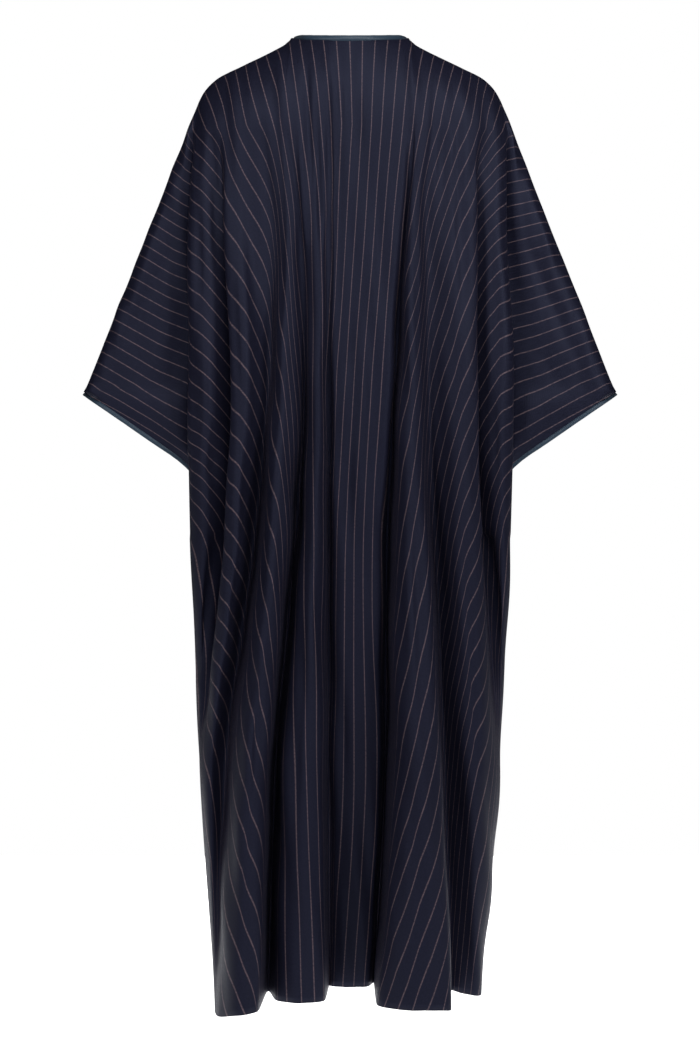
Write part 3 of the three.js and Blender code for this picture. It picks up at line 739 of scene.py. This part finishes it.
def binding_object(name, edge, normals, out, width, side, material, closed=False):
    """A strip folded over a cloth's edge, with a rounded fold, its width puckered along its length."""
    high, low = SATIN["off"], -CLOTH - SATIN["off"]
    radius, middle = (high - low) / 2, (high + low) / 2
    swell_at = SATIN["swell_at"] * width
    section = [(-LAP, high), (swell_at, high + SATIN["swell"])]
    for a in np.linspace(math.pi / 2, -math.pi / 2, SATIN["fold_points"]):
        section.append((width - radius * (1 - math.cos(a)), middle + radius * math.sin(a)))
    section += [(swell_at, low - SATIN["swell"]), (-LAP, low)]
    run = run_along(edge)
    pucker = sum(depth * np.sin(run / radian + phase) for depth, radian, phase in PUCKERS)[:, None]
    rings = np.stack([edge + out * (w + pucker) + normals * h for w, h in section], axis=1)
    across = np.cumsum([0] + [math.dist(a, b) for a, b in zip(section, section[1:])])
    weave = np.stack(np.broadcast_arrays(across[None, :], run[:, None]), axis=2).reshape(-1, 2)
    faces = ring_faces(len(rings), len(section), closed)
    if side < 0:
        faces = [face[::-1] for face in faces]
    return make_object(name, rings.reshape(-1, 3), faces, material, weave)


def make_back():
    lines = [FoldLine(row, YOKE["back"], NECK["back_drop"]) for row in BACK_FOLDS]
    points = panel_points(lines, BACK_TOP, is_back=True)
    let_down_hem(points)
    height = crease_height(points, BACK_CREASES)
    points, normals = settle(points, grid_normals(points, 1), 1, height)
    return {"points": points, "normals": normals, "facing": -1, "turned": False}


def make_front(spec):
    rows = []
    for name, x, d, stripes in FRONT_FOLDS:
        middle = math.sin(math.pi * min(1, x[1] / (2 * FRONT_MIDDLE)))
        x = [x[0]] + [v + spec["shift"] * middle for v in x[1:]]
        d = [mix(v, mix(FRONT_MEAN_DEPTH, v, spec["relief"]), middle) for v in d]
        rows.append((name, x, d, stripes))
    lines = [FoldLine(row, YOKE["front"], NECK["front_drop"], front_cut) for row in rows]
    points = panel_points(lines, FRONT_TOP, is_back=False)
    points[..., 0] *= spec["sign"]
    let_down_hem(points)
    height = crease_height(points, FRONT_CREASES, spec["sign"])
    points, normals = settle(points, grid_normals(points, spec["sign"]), spec["sign"], height)
    return {"points": points, "normals": normals, "facing": 1, "turned": spec["sign"] > 0}


def neck_edge(panel):
    """The part of a panel's top row that isn't sewn to its neighbour, as points and normals."""
    top = panel["points"][0, :, :3]
    free = np.flatnonzero(np.abs(top[:, 0]) <= NECK["half"] + SEAM_GAP)
    return top[free], panel["normals"][0, free]


def cuff_edge(panel, column):
    """The part of a panel's border that is its half of a sleeve opening."""
    points = panel["points"][:, column, :3]
    on_edge = (points[:, 2] <= CUFF_TIP[0] + GAP) & (points[:, 2] >= UNDERARM[0] - GAP)
    return points[on_edge]


def stitch_tree():
    """Geometry Nodes that set stitches along a seam line: inputs are their pitch, length and thickness."""
    tree = bpy.data.node_groups.new("stitch_row", "GeometryNodeTree")
    interface = tree.interface
    interface.new_socket("Geometry", in_out="INPUT", socket_type="NodeSocketGeometry")
    for name in STITCH:
        interface.new_socket(name, in_out="INPUT", socket_type="NodeSocketFloat")
    interface.new_socket("Thread", in_out="INPUT", socket_type="NodeSocketMaterial")
    interface.new_socket("Geometry", in_out="OUTPUT", socket_type="NodeSocketGeometry")
    seam, pitch, length, radius, material, _ = add(tree, "NodeGroupInput").outputs
    curve = add(tree, "GeometryNodeMeshToCurve", i0=seam)
    points = add(tree, "GeometryNodeCurveToPoints", {"mode": "LENGTH"}, Curve=curve, Length=pitch)
    half = add(tree, MATH, MULTIPLY, i0=length, i1=0.5)
    stitch = add(tree, "GeometryNodeMeshUVSphere", Segments=6, Rings=5, Radius=1)
    size = add(tree, "ShaderNodeCombineXYZ", i0=radius, i1=radius, i2=half)
    laid = add(tree, "GeometryNodeInstanceOnPoints", Points=points, Instance=stitch,
               Rotation=points.outputs["Rotation"], Scale=size)
    real = add(tree, "GeometryNodeRealizeInstances", i0=laid)
    finished = add(tree, "GeometryNodeSetMaterial", i0=real, Material=material)
    add(tree, "NodeGroupOutput", i0=finished)
    return tree


def stitch_object(name, tree, line, thread):
    """A row of stitches along a line of points, baked to a plain mesh."""
    edges = [(i, i + 1) for i in range(len(line) - 1)]
    mesh = bpy.data.meshes.new(name + "_line")
    mesh.from_pydata((line * MM).tolist(), edges, [])
    guide = bpy.data.objects.new(name + "_line", mesh)
    bpy.context.scene.collection.objects.link(guide)
    modifier = guide.modifiers.new("stitches", "NODES")
    modifier.node_group = tree
    values = {part: size * MM for part, size in STITCH.items()} | {"Thread": thread}
    for item in tree.interface.items_tree:
        if item.in_out == "INPUT" and item.name in values:
            modifier[item.identifier] = values[item.name]
    evaluated = guide.evaluated_get(bpy.context.evaluated_depsgraph_get())
    baked = bpy.data.meshes.new_from_object(evaluated)
    bpy.data.objects.remove(guide)
    baked.polygons.foreach_set("use_smooth", [True] * len(baked.polygons))
    obj = bpy.data.objects.new(name, baked)
    bpy.context.scene.collection.objects.link(obj)
    return obj


def finish_piece(obj):
    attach(obj, "root")
    return obj


suiting, satin, thread = suiting_material(), satin_material(), thread_material()
stitches = stitch_tree()


def add_binding(name, edge, normals, out, width, side, closed=False):
    """A binding with its stitches, which stands for the CAD node of its name."""
    strip = binding_object(name + "_satin", edge, normals, out, width, side, satin, closed)
    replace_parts(finish_piece(strip), name)
    line = edge - out * STITCH_LINE["in"] + normals * STITCH_LINE["off"]
    row = stitch_object(name + "_stitches", stitches, line, thread)
    finish_piece(row)
    return [strip, row]


back = make_back()
back_cloth = cloth_object("back_cloth", back, suiting)
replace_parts(finish_piece(back_cloth), "back_panel")
neck = neck_edge(back)[0]
neck_out, neck_normals = upright(neck)
neck_pieces = add_binding("neck_binding", neck, neck_normals, neck_out, BINDING["neck"], 1)

for spec in FRONTS:
    side = spec["side"]
    front = make_front(spec)
    cloth = cloth_object(f"front_cloth_{side}", front, suiting)
    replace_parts(finish_piece(cloth), f"front_{side}")
    top_edge, top_normals = neck_edge(front)
    edge = np.vstack([top_edge, front["points"][1:, -1, :3]])
    normals = np.vstack([top_normals, front["normals"][1:, -1]])
    out, normals = from_upright(edge, open_air(edge, normals, spec["sign"]), normals)
    trimmings = add_binding(f"front_binding_{side}", edge, normals, out, BINDING["front"], spec["sign"])

    back_half = cuff_edge(back, 0 if spec["sign"] < 0 else -1)
    front_half = cuff_edge(front, 0)
    loop = np.vstack([back_half, front_half[1:-1][::-1]])
    for corner in (0, len(back_half) - 1):
        loop[corner, 1] = 0
    out, normals = off_sleeve(loop, spec["sign"])
    trimmings += add_binding(
        f"cuff_binding_{side}", loop, normals, out, BINDING["cuff"], spec["sign"], closed=True)


def add_area_light(name, place, target, size, power):
    light = bpy.data.lights.new(name, "AREA")
    light.shape = "RECTANGLE"
    light.size, light.size_y = size
    light.energy = power
    obj = bpy.data.objects.new(name, light)
    obj.location = place
    obj.rotation_euler = (Vector(target) - Vector(place)).to_track_quat("-Z", "Y").to_euler()
    bpy.context.scene.collection.objects.link(obj)


def add_floor():
    half, z = FLOOR["half"], cad_low.z / MM - FLOOR["drop"]
    corners = [(-half, -half, z), (half, -half, z), (half, half, z), (-half, half, z)]
    make_object("floor", corners, [(0, 1, 2, 3)], floor_material())


def add_world():
    """White all round, which only the camera sees, so that it gives the cloth no light."""
    world = bpy.data.worlds.new("studio")
    bpy.context.scene.world = world
    world.use_nodes = True
    background = world.node_tree.nodes["Background"]
    background.inputs["Color"].default_value = linear("#ffffff")
    background.inputs["Strength"].default_value = 1.0
    world.cycles_visibility.diffuse = False
    world.cycles_visibility.glossy = False
    bpy.context.scene.view_settings.view_transform = "Standard"


def add_camera():
    """Level, behind the wearer, with the photograph's scale at the seam plane."""
    data = bpy.data.cameras.new("camera")
    data.sensor_fit = "VERTICAL"
    data.sensor_height = CAMERA["sensor"]
    seen = CAMERA["photo_height"] * CAMERA["scale"]
    data.lens = CAMERA["sensor"] * CAMERA["distance"] / seen
    camera = bpy.data.objects.new("camera", data)
    camera.location = (0, -CAMERA["distance"], CAMERA["height"])
    camera.rotation_euler = (math.pi / 2, 0, 0)
    bpy.context.scene.collection.objects.link(camera)
    bpy.context.scene.camera = camera


add_floor()
add_world()
for name, lamp in LAMPS.items():
    add_area_light(name, *lamp)
add_camera()
